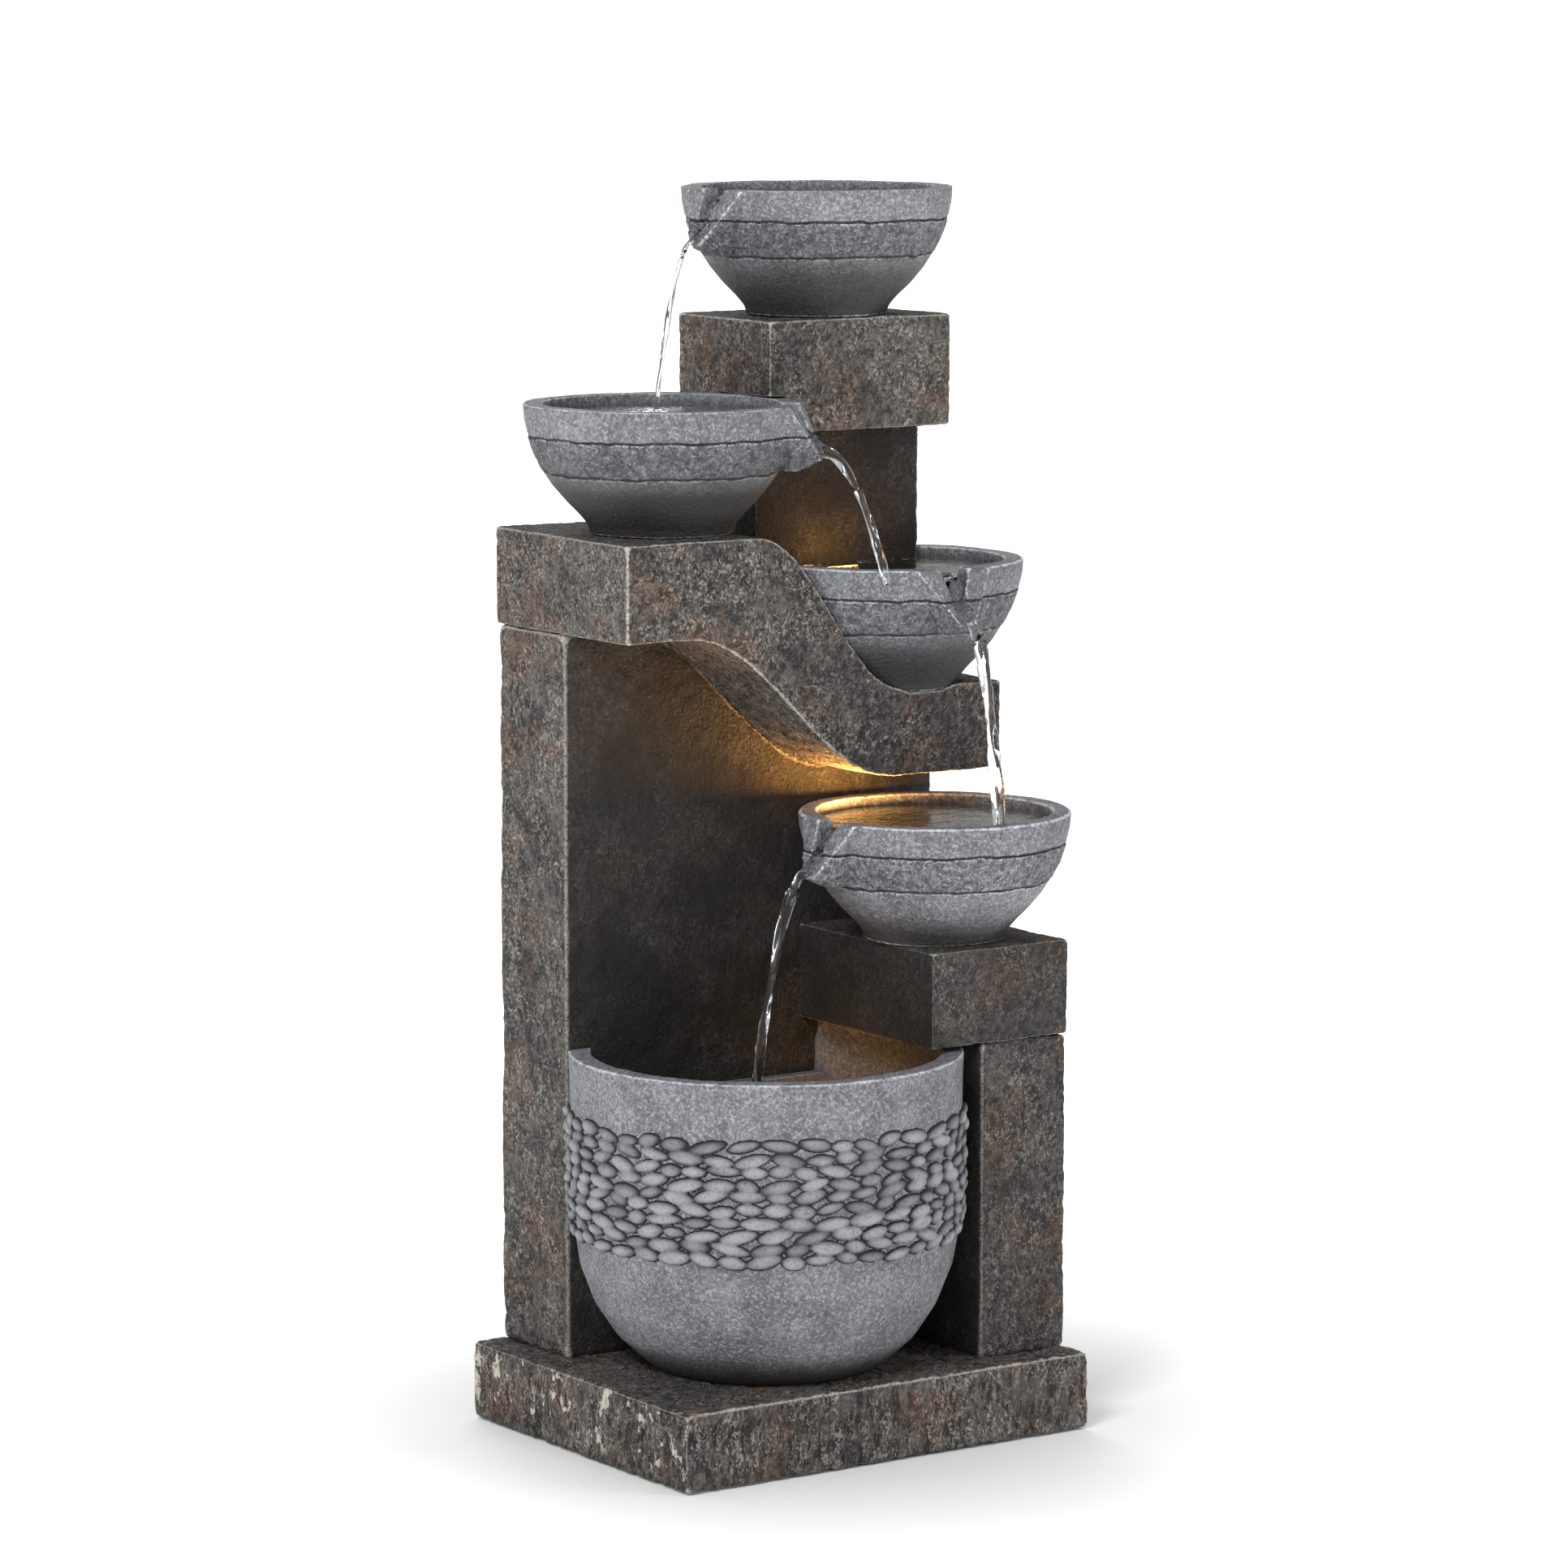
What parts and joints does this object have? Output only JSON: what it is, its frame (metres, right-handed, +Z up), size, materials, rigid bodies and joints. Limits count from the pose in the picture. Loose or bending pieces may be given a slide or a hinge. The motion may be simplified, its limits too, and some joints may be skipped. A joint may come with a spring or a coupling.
{
  "type": "tabletop water fountain",
  "caption": "Stone-look cascading water fountain: spouted bowls on a stepped tower pour into a basin, with a submersible pump, lamps and a hinged rear door.",
  "frame": {"origin": "on the floor, under the middle of the whole object's box", "axes": "+Z up, front towards -Y, the niche and basin on the -X side and the pillar on the +X side"},
  "size_m": [0.4242, 0.3856, 1],
  "materials": {
    "dark_casting": "rough dark stone-look resin, dry-brushed and worn at the edges",
    "grey_casting": "rough grey stone-look resin, dry-brushed at the rims",
    "black_plastic": "matte injection-moulded plastic",
    "white_plastic": "smooth white plastic",
    "rubber": "matt black rubber",
    "hose": "flexible dark grey hose",
    "lens": "clear lens lit warm amber",
    "steel": "brushed stainless steel"
  },
  "bodies": {
    "root": {"plinth": "dark_casting", "tower_back": "dark_casting", "side_pillar": "dark_casting", "lower_ledge": "dark_casting", "s_ledge": "dark_casting", "upper_column": "dark_casting", "top_ledge": "dark_casting", "bowl_1": "grey_casting", "bowl_2": "grey_casting", "bowl_3": "grey_casting", "bowl_4": "grey_casting", "basin": "grey_casting", "pump_housing": "black_plastic", "fill_nozzle": "black_plastic", "nozzle_nut": "black_plastic", "door_magnet": "black_plastic", "junction_box": "black_plastic", "junction_lid": "black_plastic", "cable_gland": "black_plastic", "gland_nut": "black_plastic", "lamp_1_housing": "black_plastic", "lamp_2_housing": "black_plastic", "lamp_3_housing": "black_plastic", "lamp_1_board": "white_plastic", "lamp_2_board": "white_plastic", "lamp_3_board": "white_plastic", "foot_1": "rubber", "foot_2": "rubber", "foot_3": "rubber", "foot_4": "rubber", "suction_cup_1": "rubber", "suction_cup_2": "rubber", "suction_cup_3": "rubber", "suction_cup_4": "rubber", "hose_grommet": "rubber", "lamp_1_lead": "rubber", "lamp_2_lead": "rubber", "lamp_3_lead": "rubber", "pump_lead": "rubber", "supply_hose": "hose", "lamp_1_lens": "lens", "lamp_2_lens": "lens", "lamp_3_lens": "lens", "impeller_shaft": "steel", "hinge_frame_leaf": "steel", "hinge_pin": "steel"},
    "door": {"rear_door": "dark_casting", "hinge_door_leaf": "steel", "door_knob": "black_plastic", "strike_plate": "steel"},
    "impeller_body": {"impeller": "white_plastic"},
    "dial_body": {"flow_dial": "white_plastic"},
    "strainer_body": {"pump_strainer": "black_plastic"}
  },
  "joints": [
    {"name": "rear_door_hinge", "type": "hinge", "parent": "root", "child": "door", "pos_m": [-0.1205, 0.1637, 0.235], "axis": [0, 0, 1], "range_deg": [0, 110]},
    {"name": "impeller_spin", "type": "hinge", "parent": "root", "child": "impeller_body", "pos_m": [-0.0515, -0.0093, 0.1053], "axis": [0, -1, 0], "continuous": true},
    {"name": "flow_dial_turn", "type": "hinge", "parent": "root", "child": "dial_body", "pos_m": [-0.0235, 0.0002, 0.1053], "axis": [1, 0, 0], "range_deg": [-90, 90]},
    {"name": "strainer_pull", "type": "slide", "parent": "root", "child": "strainer_body", "axis": [0, -1, 0], "range_m": [0, 0.04]}
  ]
}
